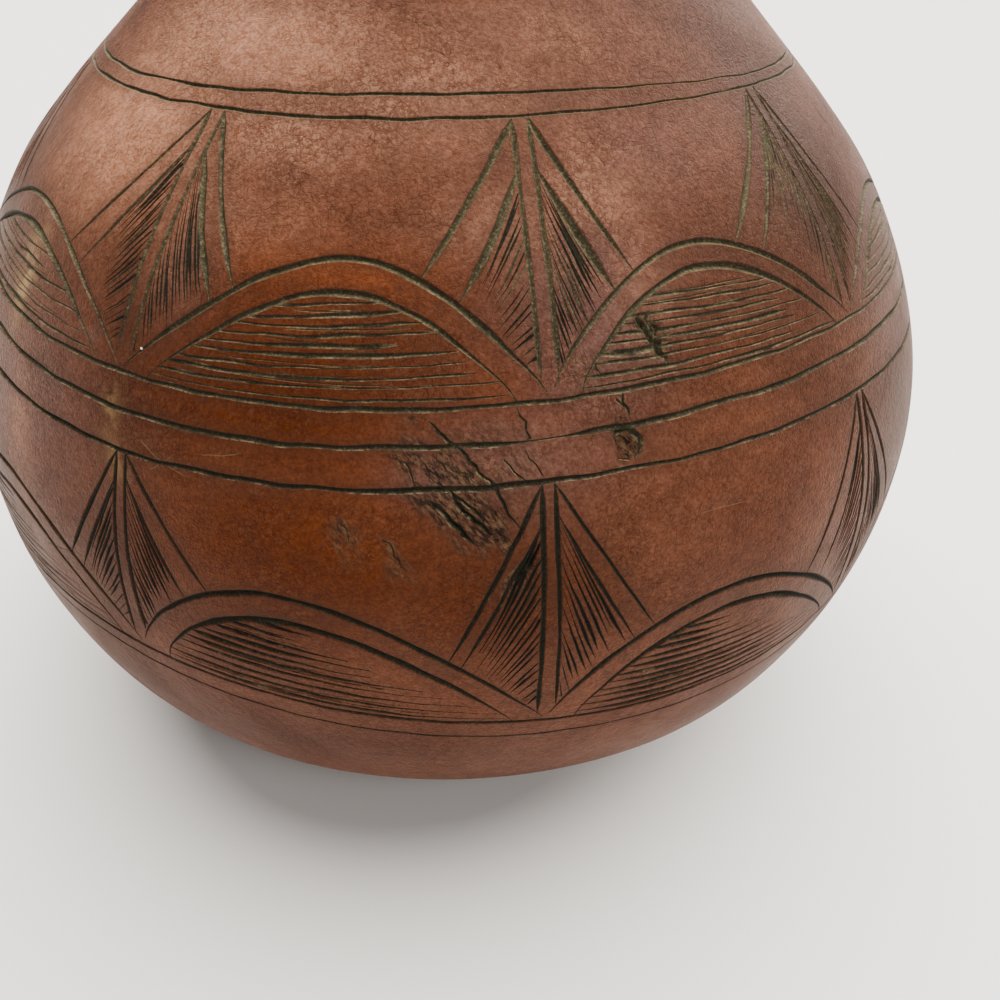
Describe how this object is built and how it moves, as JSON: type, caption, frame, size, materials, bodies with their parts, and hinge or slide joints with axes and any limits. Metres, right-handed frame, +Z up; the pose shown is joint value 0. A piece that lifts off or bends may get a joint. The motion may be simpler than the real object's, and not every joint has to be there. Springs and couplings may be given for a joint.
{
  "type": "drinking gourd",
  "caption": "Hollow dried bottle gourd used as a drinking vessel, with a short neck, an open mouth and carved bands of arches and spear points round its body.",
  "frame": {"origin": "middle of the small flat spot under the body, which the gourd stands on", "axes": "+Z up along the gourd's own axis, from the flat spot to the mouth; -Y is the side that faces the viewer"},
  "size_m": [0.2199, 0.22, 0.24],
  "materials": {
    "gourd_skin": "semi-gloss, reddish brown, hand rubbed"
  },
  "bodies": {
    "root": {"gourd": "gourd_skin"}
  },
  "joints": []
}
